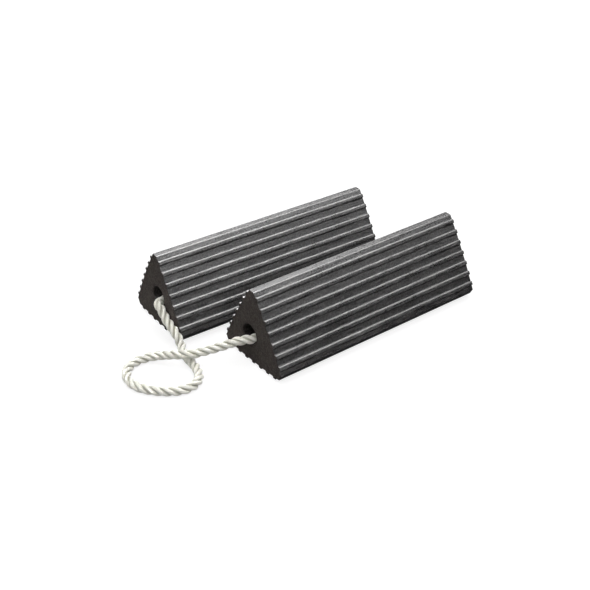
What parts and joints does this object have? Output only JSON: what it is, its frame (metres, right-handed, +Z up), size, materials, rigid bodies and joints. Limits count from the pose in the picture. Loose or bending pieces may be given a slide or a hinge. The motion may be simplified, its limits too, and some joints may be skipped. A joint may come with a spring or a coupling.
{
  "type": "wheel chock pair",
  "caption": "Pair of ribbed rubber wheel chocks, triangular in section, joined by a laid rope that is knotted inside the far end of each.",
  "frame": {"origin": "on the floor, at the middle of the back chock's base", "axes": "+X along the back chock, away from the end where the rope comes out; +Y across it, away from the front chock; +Z up"},
  "size_m": [0.5241, 0.2818, 0.1148],
  "materials": {
    "rubber": "semi-matt black moulded rubber with fine lengthwise drag marks",
    "rope": "off-white three-strand laid rope",
    "washer": "zinc plated"
  },
  "bodies": {
    "back_chock": {"back_chock": "rubber"},
    "back_washer": {"back_washer": "washer"},
    "rope_back": {"rope_back_tail": "rope", "rope_back_knot": "rope", "rope_back_end": "rope"},
    "rope_1": {"rope_segment_1": "rope"},
    "rope_2": {"rope_segment_2": "rope"},
    "rope_3": {"rope_segment_3": "rope"},
    "rope_4": {"rope_segment_4": "rope"},
    "rope_5": {"rope_segment_5": "rope"},
    "rope_6": {"rope_segment_6": "rope"},
    "rope_7": {"rope_segment_7": "rope"},
    "rope_8": {"rope_segment_8": "rope"},
    "rope_9": {"rope_segment_9": "rope"},
    "rope_10": {"rope_segment_10": "rope"},
    "rope_front": {"rope_front_tail": "rope", "rope_front_knot": "rope", "rope_front_end": "rope"},
    "front_washer": {"front_washer": "washer"},
    "front_chock": {"front_chock": "rubber"}
  },
  "joints": [
    {"name": "back_roll", "type": "hinge", "parent": "back_chock", "child": "back_washer", "pos_m": [0, -0.00266, 0.05006], "axis": [1, 0, 0], "range_deg": [-120, 120]},
    {"name": "back_rope_pull", "type": "slide", "parent": "back_washer", "child": "rope_back", "axis": [-1, 0, 0], "range_m": [0, 0.0115]},
    {"name": "back_mouth_swing", "type": "hinge", "parent": "rope_back", "child": "rope_1", "pos_m": [-0.1776, -0.00726, 0.04366], "axis": [0, 0, 1], "range_deg": [-15, 0]},
    {"name": "lead_lift", "type": "hinge", "parent": "rope_1", "child": "rope_2", "pos_m": [-0.18521, -0.04753, 0.02595], "axis": [-1, -0.0024, 0], "range_deg": [0, 12]},
    {"name": "lead_swing", "type": "hinge", "parent": "rope_2", "child": "rope_3", "pos_m": [-0.18982, -0.08917, 0.00671], "axis": [0, 0, 1], "range_deg": [-15, 0]},
    {"name": "loop_bend_1", "type": "hinge", "parent": "rope_3", "child": "rope_4", "pos_m": [-0.19625, -0.13707, 0.0068], "axis": [0, 0, 1], "range_deg": [-8, 0]},
    {"name": "loop_bend_2", "type": "hinge", "parent": "rope_4", "child": "rope_5", "pos_m": [-0.23327, -0.15953, 0.0068], "axis": [0, 0, 1], "range_deg": [-6, 0]},
    {"name": "loop_bend_3", "type": "hinge", "parent": "rope_5", "child": "rope_6", "pos_m": [-0.27121, -0.13062, 0.0068], "axis": [0, 0, 1], "range_deg": [-6, 0]},
    {"name": "loop_bend_4", "type": "hinge", "parent": "rope_6", "child": "rope_7", "pos_m": [-0.27542, -0.08509, 0.0068], "axis": [0, 0, 1], "range_deg": [-5, 0]},
    {"name": "loop_bend_5", "type": "hinge", "parent": "rope_7", "child": "rope_8", "pos_m": [-0.23333, -0.07133, 0.00781], "axis": [0, 0, 1], "range_deg": [-4, 0]},
    {"name": "crossing_swing", "type": "hinge", "parent": "rope_8", "child": "rope_9", "pos_m": [-0.20372, -0.10691, 0.02021], "axis": [0, 0, 1], "range_deg": [-12, 0]},
    {"name": "rise_lift", "type": "hinge", "parent": "rope_9", "child": "rope_10", "pos_m": [-0.16197, -0.12931, 0.02726], "axis": [-0.4996, -0.8663, 0], "range_deg": [0, 12]},
    {"name": "front_mouth_swing", "type": "hinge", "parent": "rope_10", "child": "rope_front", "pos_m": [-0.12042, -0.15152, 0.0372], "axis": [0, 0, 1], "range_deg": [-15, 1]},
    {"name": "front_rope_pull", "type": "slide", "parent": "rope_front", "child": "front_washer", "axis": [0.9993, 0.0377, 0], "range_m": [0, 0.0115]},
    {"name": "front_roll", "type": "hinge", "parent": "front_washer", "child": "front_chock", "pos_m": [0.05694, -0.14183, 0.0438], "axis": [0.9993, 0.0377, 0], "range_deg": [-120, 120]}
  ]
}
